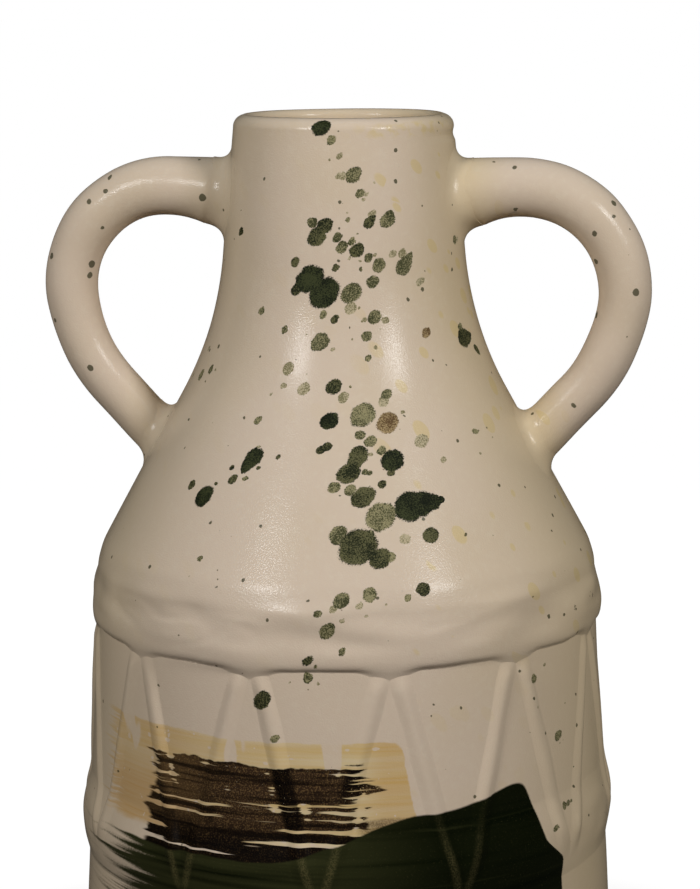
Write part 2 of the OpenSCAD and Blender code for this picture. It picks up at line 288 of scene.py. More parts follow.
def neck_tube(material):
    """Neck, with closer rows above its seam and below the rim."""
    outer = np.concatenate([
        levels(NECK_SEAM_Z, NECK_SEAM_Z + 4, 0.8),
        levels(NECK_SEAM_Z + 5.5, NECK_ROWS_START, 1.5),
        levels(NECK_ROWS_START + 1, NECK_TOP_Z, 0.7),
    ])
    inner = levels(NECK_SEAM_Z - SEAM_FALL, NECK_TOP_Z - SEAM_FALL, 2.0)
    add_piece("neck_tube", wall_rows(outer, inner), material)


RIM_OUTER_ROUND = 5.0
RIM_INNER_ROUND = 3.0
RIM_INSIDE_PROUD = 0.3
RIM_SAG = 0.45


def rim_coil(material):
    """Rounded rim that carries on the line of the neck, its top a little uneven."""
    turn = turns(WALL_TURNS)
    top_r = outer_r(RIM_TOP_Z) - RIM_OUTER_ROUND
    dip = RIM_SAG * (0.5 + 0.5 * field(around(turn, top_r, RIM_TOP_Z), 38, 4))
    shoulder_z = RIM_TOP_Z - RIM_OUTER_ROUND
    rows = [around(turn, surface_r(turn, z), z) for z in levels(NECK_TOP_Z, shoulder_z, 0.6)[:-1]]
    for angle in np.linspace(0, math.pi / 2, 17):
        side_r = surface_r(turn, shoulder_z) - RIM_OUTER_ROUND * (1 - math.cos(angle))
        rows.append(around(turn, side_r, shoulder_z + (RIM_OUTER_ROUND - dip) * math.sin(angle)))
    inside = inner_r(NECK_TOP_Z) - RIM_INSIDE_PROUD
    hollow_z = RIM_TOP_Z - RIM_INNER_ROUND
    for angle in np.linspace(math.pi / 2, 0, 13):
        side_r = inside + RIM_INNER_ROUND * (1 - math.cos(angle))
        rows.append(around(turn, side_r, hollow_z + (RIM_INNER_ROUND - dip) * math.sin(angle)))
    foot_z = NECK_TOP_Z - SEAM_FALL
    for z in levels(hollow_z - 1, foot_z, 1.2):
        rows.append(around(turn, inside + RIM_INSIDE_PROUD * ease(-z, -hollow_z, -foot_z), z))
    add_piece("rim_coil", np.array(rows), material)


FOOT_TURNS = 240
TURNING_DEPTH = 0.12
TURNING_STEP = 2.3
# Radius of the flat middle that closes the floor's skin
FLOOR_CAP_R = 14.0


def base_slab(material):
    """Floor, with its turned underside."""
    turn = turns(FOOT_TURNS)
    heel = heel_line[:len(heel_line) // 2 + 1]
    bottom_r = levels(FLOOR_CAP_R, heel[0][0], 1.2)
    grooves = TURNING_DEPTH * np.sin(2 * math.pi * bottom_r / TURNING_STEP)
    rows = [around(turn, r, FOOT_H + abs(g)) for r, g in zip(bottom_r[:-1], grooves)]
    rows += [around(turn, r, z) for r, z in heel]
    rows += [around(turn, r, FLOOR_Z) for r in levels(inner_r(INNER_FOOT_Z), FLOOR_CAP_R, 6)]
    add_piece("base_slab", np.array(rows), material, ring=False)


FOOT_R = 90.0
FOOT_W = 10.0
FOOT_SEAT = 0.3
FOOT_ROUND = 1.8
FOOT_STEP = 0.8
FOOT_ROUGH = 0.12


def foot_ring(material):
    """Bare foot with worn, rounded edges."""
    turn = turns(FOOT_TURNS)
    inner, outer, top = FOOT_R - FOOT_W / 2, FOOT_R + FOOT_W / 2, FOOT_H + FOOT_SEAT
    edge = FOOT_ROUND + FOOT_STEP
    section = np.vstack([
        [(inner, top)],
        corner_arc((inner, top), (inner, 0), (outer, 0), FOOT_ROUND, 8),
        [(r, 0.0) for r in levels(inner + edge, outer - edge, FOOT_STEP)],
        corner_arc((inner, 0), (outer, 0), (outer, top), FOOT_ROUND, 8),
        [(outer, top)],
    ])
    rows = []
    for r, z in section:
        rough = FOOT_ROUGH * field(around(turn, r, z), 3.5, 6)
        rows.append(around(turn, r + rough * ease(z, 0, 1.5), z))
    add_piece("foot_ring", np.array(rows), material)


# Relief of the laced drum

RELIEF_TURNS = 640
SEAT = 1.2
band_low, band_high = (corner[2] for corner in node_box("drumhead_band"))
hoop_low, hoop_high = (corner[2] for corner in node_box("lower_hoop"))
LACE_POINTS = 12
LACE_TURN = FACE_TURN + math.radians(9)
LACE_HALF = 5.0
LACE_H = 1.3
LACE_APART = 6.6
LACE_LOW = 116.0
LACE_MEET = 122.0
LACE_HIGH = band_low + 5.5
LACE_WAVER = 0.5
LACE_RISE = 15.0
LACE_SINK = 0.85
LACE_TUCK = 0.08


def band_edge(turn):
    """Height of the band's lower edge, which hangs a little unevenly."""
    at = around(turn, SHOULDER_R, band_low)
    return band_low + 1.2 + 1.3 * field(at, 45, 11) + 0.5 * field(at, 16, 12)


# Forms of the band's relief: height, place above the band's edge, half width
ROLL = (2.2, 5.5, 15.0)
DRAPE = (0.8, 18.0, 10.0)
FOLD = (1.25, 15.0, 13.0)
LUMP = (1.0, 14.0, 14.0)
WRINKLE = (0.3, 13.0, 10.0)
FOLDS_END = (20, 31)


def band_relief(turn, up):
    """Height of the band over the wall: a roll along its edge, and uneven folds that run out above it."""
    turn, up = np.broadcast_arrays(turn, up)
    at = around(turn, SHOULDER_R, band_low + up)
    flat = around(turn, SHOULDER_R, band_low)
    wide = at * (0.5, 0.5, 1.5)

    def form(sizes, higher=0, further=0):
        """Soft ridge along the band, made higher or moved further up."""
        height, place, half = sizes
        return (height + higher) * bell((up - place - further) / half)

    roll = form(ROLL, 0.5 * field(flat, 30, 13))
    drape = form(DRAPE, field(flat, 24, 15), 3 * field(flat, 34, 14))
    folds = form(FOLD) * field(wide, 13, 16)
    lumps = form(LUMP) * field(at, 20, 17)
    lines = bell(field(wide, 15, 18) / 0.3) * ease(field(flat, 26, 19), 0.0, 0.35)
    loose = drape + folds + lumps - form(WRINKLE) * lines
    return np.clip(roll + loose * (1 - ease(up, *FOLDS_END)), 0, None)


LIP_UP = 2.6
LIP_DOWN = 1.8
TIE_HALF = 13.0
TIE_DOWN = 3.0
BAND_FEATHER = 8.0
BAND_SINK = 0.3


def drumhead_band(material):
    """Band of clay turned down over the shoulder, its round lower edge drawn onto each pair of laces."""
    turn = turns(RELIEF_TURNS)
    edge = band_edge(turn)
    pitch = 2 * math.pi / LACE_POINTS
    from_point = (turn - LACE_TURN + pitch / 2) % pitch - pitch / 2
    tie = bell(from_point * SHOULDER_R / TIE_HALF)
    lip_h = band_relief(turn, np.full_like(turn, LIP_UP))
    rows = []

    def add_row(up, height):
        z = edge + up
        rows.append(around(turn, surface_r(turn, z) + height, z))

    # Control points of the lip: distance above the edge, and height over the wall
    curve = [
        (-LIP_DOWN - TIE_DOWN * tie, -0.15),
        (-1.6 * tie, 0.7 * tie),
        (-0.5 - 0.8 * tie, (0.85 - 0.1 * tie) * lip_h),
        (LIP_UP, lip_h),
    ]
    for s in np.linspace(0, 1, 11):
        shares = [(1 - s) ** 3, 3 * s * (1 - s) ** 2, 3 * s * s * (1 - s), s ** 3]
        up, height = (sum(k * point[i] for k, point in zip(shares, curve)) for i in range(2))
        add_row(up, height)
    top = band_high + BAND_FEATHER - band_low
    for up in levels(LIP_UP + 0.7, top, 0.8)[:-1]:
        add_row(up, band_relief(turn, np.full_like(turn, up)) - BAND_SINK * ease(up, top - 7, top))
    for up in levels(top, 1 - LIP_DOWN, 4):
        add_row(up, -SEAT)
    add_piece("drumhead_band", np.array(rows), material)


HOOP_RISE = 0.8
HOOP_TILT = 3.0
HOOP_UPPER = 18.5
HOOP_LOWER = 16.0
HOOP_SWELL = 2.45
HOOP_FULLER = 0.75
HOOP_TUCK = 0.06


def hoop_relief(turn, z):
    """Height of the hoop over the wall, fuller on the left, with a firmer lower edge."""
    turn, z = np.broadcast_arrays(turn, z)
    at = around(turn, outer_r(z), z)
    middle = (hoop_low + hoop_high) / 2 + HOOP_RISE + HOOP_TILT * np.sin(turn)
    middle = middle + 1.5 * field(at * (1, 1, 0), 50, 21)
    upper = bell((z - middle) / HOOP_UPPER)
    lower = np.clip(1 - np.square((z - middle) / HOOP_LOWER), 0, None) ** 1.25
    swell = HOOP_SWELL - HOOP_FULLER * np.sin(turn)
    swell = swell + 0.8 * field(at, 30, 22) + 0.35 * field(at * (1, 1, 1.8), 13, 23)
    return swell * np.where(z > middle, upper, lower)


def lower_hoop(material):
    """Swelling hoop that the laces are drawn down to."""
    turn = turns(RELIEF_TURNS)
    low, high = hoop_low - 1, hoop_high + 2
    rows = []
    for z in levels(low, high, 0.9):
        rows.append(around(turn, surface_r(turn, z) + hoop_relief(turn, z) - HOOP_TUCK, z))
    for z in levels(high, low, 6):
        rows.append(around(turn, surface_r(turn, z) - SEAT, z))
    add_piece("lower_hoop", np.array(rows), material)


def lace(index, material):
    """Strip of clay from a point under the band down over the hoop, soft-edged and a little wavering."""
    lean = 1 if index % 2 == 0 else -1
    point = LACE_TURN + 2 * math.pi / LACE_POINTS * (index // 2)
    half_pitch = math.pi / LACE_POINTS
    z = levels(LACE_LOW, LACE_HIGH, 1.3)[:, None]
    run = (z - LACE_MEET) / (band_low - LACE_MEET)
    close = LACE_APART / 2 / outer_r(z)
    middle = point + lean * ((half_pitch - close) * (1 - run) + close * run)
    along = np.concatenate([z * 0, z * 0 + 40 * index, z], axis=1)[:, None, :]
    middle = middle + LACE_WAVER * field(along, 22, 31) / outer_r(z)
    across = np.linspace(-1, 1, 15)[None, :]
    turn = middle + across * LACE_HALF * (1 + 0.12 * field(along, 18, 32)) / outer_r(z)
    height = LACE_H * (1 + 0.2 * field(along, 20, 33)) * ease(z, LACE_LOW, LACE_LOW + LACE_RISE)
    height = height * (1 - LACE_SINK * ease(z, band_low - 8, band_low + 0.5))
    top_r = surface_r(turn, z) + hoop_relief(turn, z) + height * bell(across) - LACE_TUCK
    under = np.array([1.0, 0.0, -1.0])[None, :]
    under_turn = middle + under * LACE_HALF / outer_r(z)
    under_r = surface_r(under_turn, z) - SEAT
    rows = np.concatenate([around(turn, top_r, z), around(under_turn, under_r, z)], axis=1)
    add_piece(f"lace_{index + 1:02d}", rows, material, ring=False)


# Handles, in the plane of X and Z, on the right (side 1) or the left (side -1)

HANDLE_Z = 371.25
HANDLE_REACH = 110.3
ROOT_RUN = 8.0
CROWN_R = 88.0
BEND_R = 40.0
BEND_TURN = math.radians(99)
BELLY_R = 66.0
END_TURN = math.radians(133)
ROOT_D = 27.0
CROWN_D = 23.5
LOW_D = 20.0
HANDLE_SIDES = 56
HANDLE_SINK = 0.6 * WALL_T


def swing(angle):
    """Direction from the centre of an arc to a point on it, at an angle from upright."""
    return np.array([math.sin(angle), math.cos(angle)])


def heading(angle):
    """Direction of an arc at that point."""
    return np.array([math.cos(angle), -math.sin(angle)])


bend_centre = np.array([HANDLE_REACH - BEND_R, HANDLE_Z - BEND_R])
crown_centre = bend_centre + (BEND_R - CROWN_R) * swing(0)
belly_centre = bend_centre + (BEND_R - BELLY_R) * swing(BEND_TURN)
climb = math.asin((bend_centre[0] - outer_r(HANDLE_Z) - ROOT_RUN) / CROWN_R)
upper_start = crown_centre + CROWN_R * swing(-climb)
lower_start = belly_centre + BELLY_R * swing(END_TURN)
upper_way = heading(math.pi - climb)
lower_way = heading(END_TURN)


def in_space(p, depth):
    """Points of the handle's plane, moved out of it by a depth."""
    return np.stack([p[..., 0], depth, p[..., 1]], axis=-1)


def to_wall(start, way):
    """Distance from each point to the wall along a direction, by halving."""
    near = np.zeros(start.shape[:-1])
    far = start[..., 0] / -way[0]
    for _ in range(30):
        middle = (near + far) / 2
        at = start + middle[..., None] * way
        x, y, z = np.moveaxis(at, -1, 0)
        inside = np.hypot(x, y) < surface_r(np.arctan2(x, -y), z)
        far = np.where(inside, middle, far)
        near = np.where(inside, near, middle)
    return far


def straight_run(start, way):
    """Length of the handle's straight end, from its start to the wall."""
    return float(to_wall(in_space(start, 0.0), in_space(way, 0.0)))


def taper(angle):
    """Radius of the handle beyond its crown."""
    return (CROWN_D + angle / END_TURN * (LOW_D - CROWN_D)) / 2


def handle_path():
    """Points, headings and radii along the handle's centre line, from the neck to the shoulder."""
    steps = []
    for s in levels(straight_run(upper_start, upper_way) + HANDLE_SINK, 0.8, 1.2):
        steps.append((upper_start + s * upper_way, -climb, ROOT_D / 2))
    for angle in np.linspace(-climb, 0, 14)[:-1]:
        radius = (CROWN_D + (angle / climb) ** 2 * (ROOT_D - CROWN_D)) / 2
        steps.append((crown_centre + CROWN_R * swing(angle), angle, radius))
    for angle in np.linspace(0, BEND_TURN, 60)[:-1]:
        steps.append((bend_centre + BEND_R * swing(angle), angle, taper(angle)))
    for angle in np.linspace(BEND_TURN, END_TURN, 34):
        steps.append((belly_centre + BELLY_R * swing(angle), angle, taper(angle)))
    low_end = straight_run(lower_start, lower_way) + HANDLE_SINK + LOW_D / 2
    for s in levels(1.2, low_end, 1.2):
        steps.append((lower_start + s * lower_way, END_TURN, LOW_D / 2))
    return steps


HANDLE_SWELL = 0.035
HANDLE_SLACK = 0.022


def handle(node, side, material):
    """Pulled handle, round and tapering, with the soft unevenness of wet clay."""
    spin = turns(HANDLE_SIDES)
    rows = []
    for p, angle, r in handle_path():
        ring = in_space(p + np.outer(np.cos(spin), swing(angle)) * r, np.sin(spin) * r)
        middle = np.array([p[0], 0, p[1]])
        swell = HANDLE_SWELL * field(ring * (side, 1, 1), 19, 41) - HANDLE_SLACK
        rows.append((middle + (ring - middle) * (1 + swell[:, None])) * (side, 1, 1))
    add_piece(node, np.array(rows), material, ring=False)


lower_root = lower_start + straight_run(lower_start, lower_way) * lower_way
FILLET_RUN = 7.0
FILLET_UNEVEN = 0.16
FILLET_TUCK = 0.12


def root_fillet(node, side, start, way, r, extra_below, material):
    """Coil thumbed into the corner between handle and wall, longer under the handle."""
    spin = turns(2 * HANDLE_SIDES)
    square_to = np.array([way[1], -way[0]])
    across = in_space(np.outer(np.cos(spin), square_to), np.sin(spin))
    dir_3d = in_space(way, 0.0)
    below = np.clip(-across[:, 2], 0, 1)
    uneven = 1 + FILLET_UNEVEN * field(across * 14 + 60 * side, 9, 43)
    run = FILLET_RUN * uneven
    reach = run + extra_below * below ** 2
    near = in_space(start, 0.0) + (r - 0.05) * across
    wide = near + run[:, None] * across
    corner = near + dir_3d * to_wall(near, dir_3d)[:, None]
    out = wide + dir_3d * (to_wall(wide, dir_3d)[:, None] + FILLET_TUCK)
    tip = corner - dir_3d * reach[:, None] - FILLET_TUCK * across
    rows = []
    for s in np.linspace(0, 1, 15):
        rows.append((1 - s) ** 2 * tip + 2 * s * (1 - s) * corner + s * s * out)
    # The coil's hidden back, in the wall and the handle
    sunk = corner + dir_3d * 2.0
    rows += [out + dir_3d * 1.6, sunk - 1.0 * across, sunk - 2.5 * across, tip - 1.4 * across]
    rows = np.array(rows) * (side, 1, 1)
    add_piece(node, rows.transpose(1, 0, 2), material)


# Materials

def srgb(text, alpha=1.0):
    """Colour of a shader from the colour as it is seen, written as #rrggbb."""
    parts = [int(text[i:i + 2], 16) / 255 for i in (1, 3, 5)]
    return tuple(c / 12.92 if c <= 0.04045 else ((c + 0.055) / 1.055) ** 2.4 for c in parts) + (alpha,)


class Graph:
    """Short calls that build one material's nodes. Values are sockets, numbers or tuples."""

    def __init__(self, name):
        self.material = bpy.data.materials.new(name)
        self.material.use_nodes = True
        self.tree = self.material.node_tree
        self.tree.nodes.clear()

    def add(self, kind, inputs, output=0, **settings):
        """New node with these inputs and settings. Gives back one of its outputs."""
        node = self.tree.nodes.new("ShaderNode" + kind)
        for key, value in settings.items():
            setattr(node, key, value)
        for key, value in inputs.items():
            if isinstance(value, bpy.types.NodeSocket):
                self.tree.links.new(value, node.inputs[key])
            else:
                node.inputs[key].default_value = value
        return node.outputs[output]

    def end(self, surface):
        """Ends the graph in a shader."""
        out = self.tree.nodes.new("ShaderNodeOutputMaterial")
        self.tree.links.new(surface, out.inputs["Surface"])
        return self.material

    def math(self, operation, *values):
        return self.add("Math", dict(enumerate(values)), operation=operation)

    def vector(self, operation, *values, output=0):
        return self.add("VectorMath", dict(enumerate(values)), output, operation=operation)

    def scaled(self, vector, scale):
        return self.add("VectorMath", {0: vector, "Scale": scale}, operation="SCALE")

    def combine(self, x, y, z):
        return self.add("CombineXYZ", {0: x, 1: y, 2: z})

    def noise(self, vector, scale, detail=2.0, output=0):
        return self.add("TexNoise", {"Vector": vector, "Scale": scale, "Detail": detail}, output)

    def step(self, value, low, high, start=0.0, stop=1.0):
        """Smooth step from start, at low, to stop, at high."""
        inputs = {0: value, 1: low, 2: high, 3: start, 4: stop}
        return self.add("MapRange", inputs, interpolation_type="SMOOTHSTEP")

    def above(self, value, place, soft):
        """1 where the value is above the place and 0 below it, over a soft edge."""
        return self.step(value, place - soft, place + soft)

    def below(self, value, place, soft):
        """1 where the value is below the place and 0 above it, over a soft edge."""
        return self.step(value, place + soft, place - soft)

    def product(self, *values):
        """Product of all the values."""
        total = values[0]
        for value in values[1:]:
            total = self.math("MULTIPLY", total, value)
        return total

    def blend(self, factor, a, b):
        """Number between a and b."""
        return self.add("Mix", {0: factor, 2: a, 3: b})

    def mix(self, factor, a, b):
        """Colour between a and b."""
        return self.add("Mix", {0: factor, 6: a, 7: b}, 2, data_type="RGBA")

    def spots(self, vector, scale, share, largest, soft=0.03):
        """Round spots, up to the largest size, in that share of the cells of a random pattern."""
        away = self.add("TexVoronoi", {"Vector": vector, "Scale": scale}, "Distance")
        lot = self.add("SeparateColor", {0: away.node.outputs["Color"]})
        size = self.step(lot, self.math("SUBTRACT", 1.0, share), 1.0, 0.0, largest)
        return self.step(self.math("SUBTRACT", size, away), 0.0, soft)

    def shade(self, color, roughness, height, **settings):
        """Ends the graph in a shader with that colour, roughness and height of bumps in millimetres."""
        normal = self.add("Bump", {"Strength": 1.0, "Distance": MM, "Height": height})
        inputs = {"Base Color": color, "Roughness": roughness, "Normal": normal, **settings}
        return self.end(self.add("BsdfPrincipled", inputs))


CREAM = srgb("#cebba6")
CREAM_WARM = srgb("#c7b493")
CREAM_PALE = srgb("#d3c4ae")
IRON = srgb("#5a4a34")
YELLOW = srgb("#c8af6b")
OCHRE = srgb("#caac70")
OCHRE_PALE = srgb("#d1bd92")
OCHRE_DEEP = srgb("#be9451")
BROWN = srgb("#33251a")
BROWN_DARK = srgb("#0c0806")
TAN = srgb("#705736")
GREEN = srgb("#0a0f05")
GREEN_THIN = srgb("#30311b")
OLIVE = srgb("#5f5838")
CLAY_PALE = srgb("#b39a7e")
CLAY_DEEP = srgb("#9c8163")
GROG = srgb("#6d5a45")
GLAZE_GLOSS = {"Specular IOR Level": 0.12}


def in_millimetres(g):
    """Place on the object."""
    return g.scaled(g.add("TexCoord", {}, "Object"), 1 / MM)


def glaze_base(g, p):
    """Cream satin glaze: cloudy colour, iron specks, and a grainy skin that makes its highlights sparkle."""
    color = g.mix(g.step(g.noise(p, 0.017, 2.0), 0.42, 0.72, 0.0, 0.3), CREAM, CREAM_WARM)
    color = g.mix(g.step(g.noise(p, 0.4, 3.0), 0.45, 0.8, 0.0, 0.4), color, CREAM_PALE)
    color = g.mix(g.product(g.spots(p, 0.16, 0.4, 0.06), 0.75), color, IRON)
    roughness = g.step(g.noise(p, 0.05, 2.0), 0.3, 0.7, 0.17, 0.22)
    height = g.product(g.noise(p, 1.7, 1.0), 0.071)
    return color, roughness, height


# Splashes of thrown glaze: turn from the middle of the face in degrees, height, largest drop, number of
# drops, spread of the smaller ones, length and lean of the tail, and how thick the glaze lies
SPLASHES = [
    (-11, 397, 3.2, 1, 8, 0, 0, "full"), (-6, 392, 1.7, 1, 5, 0, 0, "mid"),
    (-2, 386, 1.2, 2, 5, 0, 0, "thin"), (5, 379, 2.7, 3, 6, 1, 60, "mid"),
    (8, 372, 1.6, 4, 6, 0, 0, "mid"), (12, 361, 2.0, 4, 6, 3, 50, "thick"),
    (21, 362, 2.8, 2, 7, 2, 50, "mid"), (-9, 360, 2.7, 2, 5, 0, 0, "thick"),
    (-15, 361, 1.8, 2, 6, 0, 0, "mid"), (-13, 356, 3.1, 3, 5, 3, -30, "thick"),
    (-1, 352, 2.0, 3, 6, 0, 0, "mid"), (6, 351, 2.5, 6, 7, 0, 0, "thick"),
    (11, 348, 1.6, 5, 7, 0, 0, "mid"), (2, 362, 1.0, 5, 7, 0, 0, "mid"),
    (16, 345, 2.4, 2, 7, 1, 45, "mid"), (28, 344, 2.9, 2, 8, 6, 55, "mid"),
    (13, 339, 2.1, 2, 6, 1, 40, "mid"), (36, 338, 1.5, 1, 5, 3, 20, "thin"),
    (-16, 340, 4.6, 3, 6, 0, 0, "full"), (-9, 335, 5.0, 4, 6, 3, -60, "full"),
    (3, 335, 3.4, 2, 8, 0, 0, "mid"), (-9, 327, 1.5, 1, 5, 0, 0, "mid"),
    (13, 326, 2.3, 4, 7, 1, 45, "mid"), (9, 319, 1.7, 5, 6, 0, 0, "mid"),
    (-10, 317, 3.0, 2, 8, 0, 0, "mid"), (36, 319, 1.9, 1, 4, 2, 30, "brown"),
    (58, 315, 3.6, 2, 8, 6, 5, "thick"), (-39, 327, 1.6, 2, 8, 0, 0, "mid"),
    (-26, 321, 1.4, 3, 9, 0, 0, "mid"), (-58, 356, 1.7, 2, 6, 0, 0, "thick"),
    (65, 352, 1.6, 2, 8, 0, 0, "mid"), (66, 310, 1.6, 1, 5, 3, -60, "thick"),
    (-22, 307, 2.0, 2, 8, 0, 0, "thin"), (-15, 300, 2.1, 2, 9, 0, 0, "thin"),
    (-4, 301, 2.6, 2, 9, 0, 0, "thick"), (-5, 289, 3.0, 3, 10, 0, 0, "full"),
    (9, 311, 1.2, 3, 8, 0, 0, "mid"), (15, 298, 1.9, 2, 8, 0, 0, "mid"),
    (6, 291, 4.1, 3, 8, 2, 30, "mid"), (14, 288, 3.8, 1, 4, 2, 20, "brown"),
    (24, 281, 2.5, 2, 8, 3, 25, "thin"), (8, 282, 2.0, 2, 6, 0, 0, "mid"),
    (4, 277, 3.5, 4, 7, 5, 240, "thick"), (1, 271, 3.6, 4, 7, 3, 180, "thick"),
    (14, 275, 3.9, 2, 6, 2, 20, "full"), (5, 263, 3.7, 3, 6, 4, 200, "thick"),
    (9, 256, 5.0, 2, 7, 4, 30, "mid"), (17, 259, 5.4, 3, 12, 13, 6, "full"),
    (3, 246, 6.2, 4, 8, 3, 150, "thick"), (8, 242, 3.6, 3, 9, 0, 0, "thick"),
    (-28, 275, 3.4, 4, 8, 6, 235, "full"), (-33, 267, 1.8, 2, 7, 0, 0, "thick"),
    (-41, 260, 3.5, 3, 8, 0, 0, "full"), (-30, 288, 1.5, 3, 12, 0, 0, "mid"),
    (-63, 303, 1.6, 2, 9, 0, 0, "mid"), (-36, 239, 1.1, 3, 14, 0, 0, "mid"),
    (-1, 228, 2.7, 2, 7, 0, 0, "mid"), (5, 230, 2.3, 4, 6, 2, -60, "mid"),
    (17, 231, 2.4, 2, 10, 2, 0, "thick"), (-6, 223, 1.4, 2, 6, 0, 0, "mid"),
    (-4, 217, 2.6, 2, 8, 0, 0, "mid"), (-1, 209, 1.7, 2, 5, 1, -30, "mid"),
    (-8, 206, 2.0, 2, 5, 1, 120, "thick"), (-8, 199, 1.7, 3, 6, 2, 110, "mid"),
    (-18, 190, 3.0, 1, 8, 0, 0, "thick"), (-15, 176, 1.5, 1, 8, 0, 0, "mid"),
    (44, 191, 1.7, 3, 16, 2, -20, "mid"), (59, 213, 1.9, 1, 5, 1, 0, "thick"),
    (52, 166, 1.8, 3, 14, 3, 10, "mid"), (53, 138, 1.5, 1, 5, 7, 8, "mid"),
    (49, 131, 1.7, 1, 5, 6, 12, "mid"), (45, 282, 1.1, 4, 12, 3, 5, "mid"),
    (-70, 300, 2.0, 4, 14, 0, 0, "mid"), (105, 262, 3.8, 5, 14, 4, 30, "thick"),
    (138, 300, 2.8, 5, 16, 2, 60, "mid"), (168, 236, 4.4, 5, 14, 5, 20, "full"),
    (-150, 268, 3.4, 5, 14, 3, 40, "full"), (-112, 226, 2.6, 5, 14, 2, 0, "mid"),
    (-163, 180, 2.6, 5, 18, 2, 90, "mid"), (118, 170, 2.8, 4, 16, 2, 0, "mid"),
    (178, 345, 3.0, 4, 12, 2, 60, "thick"), (-96, 342, 2.2, 4, 12, 1, 30, "mid"),
]
SPLASH_SEED = 11
SPREAD_OUT = 1.1
# The drops are ovals, drawn out in the direction of the throw, up to the right
THROWN = np.array([0.72 * math.cos(FACE_TURN), 0.72 * math.sin(FACE_TURN), 0.69])
DRAWN_OUT = 0.24
THINNER = {"thin": "thin", "brown": "brown", "mid": "thin", "thick": "mid", "full": "thick"}
# Drops of a tail: share of its length, and share of the largest drop
TAIL = [(0.4, 0.82), (0.72, 0.55), (1.0, 0.25)]
# Colours of the dark and of the pale curds in each kind of drop, the thinnest first
CURDS = {
    "thin": (srgb("#77704f"), srgb("#b7a98a")),
    "brown": (srgb("#5a4329"), srgb("#a08a62")),
    "mid": (srgb("#3c3d24"), srgb("#8f8763")),
    "thick": (srgb("#191e0d"), srgb("#605d3d")),
    "full": (srgb("#0d1305"), srgb("#3a3e23")),
}


def splash_drops():
    """Drops of each kind: the largest in the middle of its splash, with its tail, the rest about it."""
    rng = random.Random(SPLASH_SEED)
    found = {kind: [] for kind in CURDS}

    def drop(turn, height, away, way, radius, kind):
        """Adds one drop, at a distance and a direction from the middle of its splash."""
        z = height + away * math.sin(way)
        angle = FACE_TURN + math.radians(turn) + away * math.cos(way) / float(outer_r(z))
        centre = around(angle, outer_r(z) + 0.5, z)
        centre = centre - DRAWN_OUT * np.dot(centre, THROWN) * THROWN
        found[kind].append((tuple(float(c) for c in centre), radius * SPREAD_OUT))

    for turn, height, largest, count, spread, tail, lean, kind in SPLASHES:
        drop(turn, height, 0.0, 0.0, largest, kind)
        for along, share in TAIL if tail else []:
            drop(turn, height, along * tail, math.radians(lean), share * largest, kind)
        for _ in range(count - 1):
            away = largest + spread * rng.uniform(0.1, 1.0)
            way = rng.uniform(0, 2 * math.pi)
            drop(turn, height, away, way, largest * rng.uniform(0.22, 0.6), THINNER[kind])
    return found


def drop_field(g, p, drops):
    """Field that rises from 0 at the edge of the drops to 1 in their middle, and joins neighbours softly."""
    nearest = None
    for centre, radius in drops:
        away = g.vector("DISTANCE", p, centre, output="Value")
        here = g.math("MULTIPLY_ADD", away, -1 / radius, 1.0)
        nearest = here if nearest is None else g.math("SMOOTH_MAX", nearest, here, 0.08)
    return nearest


def wobble(g, p, scale, size):
    """Random shift of a point, by up to about half that size."""
    return g.scaled(g.vector("SUBTRACT", g.noise(p, scale, 2.0, output=1), (0.5, 0.5, 0.5)), size)


def splashed(g, p, color, roughness):
    """Drops of dark, curdled glaze with ragged edges, and fine spatter."""
    bent = g.vector("ADD", p, g.vector("ADD", wobble(g, p, 0.3, 1.7), wobble(g, p, 1.1, 0.35)))
    thinner = g.product(g.math("SUBTRACT", g.noise(p, 0.16, 1.0), 0.52), 0.45)
    curds = g.step(g.math("ADD", g.noise(p, 2.2, 2.0), thinner), 0.37, 0.63)
    color = g.mix(g.product(g.spots(bent, 0.2, 0.33, 0.17), 0.85), color, CURDS["mid"][0])
    along = g.vector("DOT_PRODUCT", bent, tuple(THROWN), output="Value")
    bent = g.vector("SUBTRACT", bent, g.scaled(tuple(THROWN), g.product(along, DRAWN_OUT)))
    for kind, drops in splash_drops().items():
        dark, pale = CURDS[kind]
        inside = g.math("MULTIPLY_ADD", curds, -0.09, drop_field(g, bent, drops))
        cover = g.step(inside, -0.03, 0.09)
        color = g.mix(cover, color, g.mix(curds, dark, pale))
        roughness = g.blend(cover, roughness, 0.7)
    return color, roughness


STROKE_R = 105.0


def lace_distance(g, turn, z):
    """Distance along the wall from the middle of the nearest lace, more than 0 outside its point."""
    half_pitch = math.pi / LACE_POINTS
    from_point = g.math("WRAP", g.math("SUBTRACT", turn, LACE_TURN), half_pitch, -half_pitch)
    close = LACE_APART / 2 / STROKE_R
    spans = {1: LACE_MEET, 2: band_low, 3: half_pitch - close, 4: close}
    place = g.add("MapRange", {0: z, **spans}, clamp=False)
    return g.product(g.math("SUBTRACT", g.math("ABSOLUTE", from_point), place), STROKE_R)


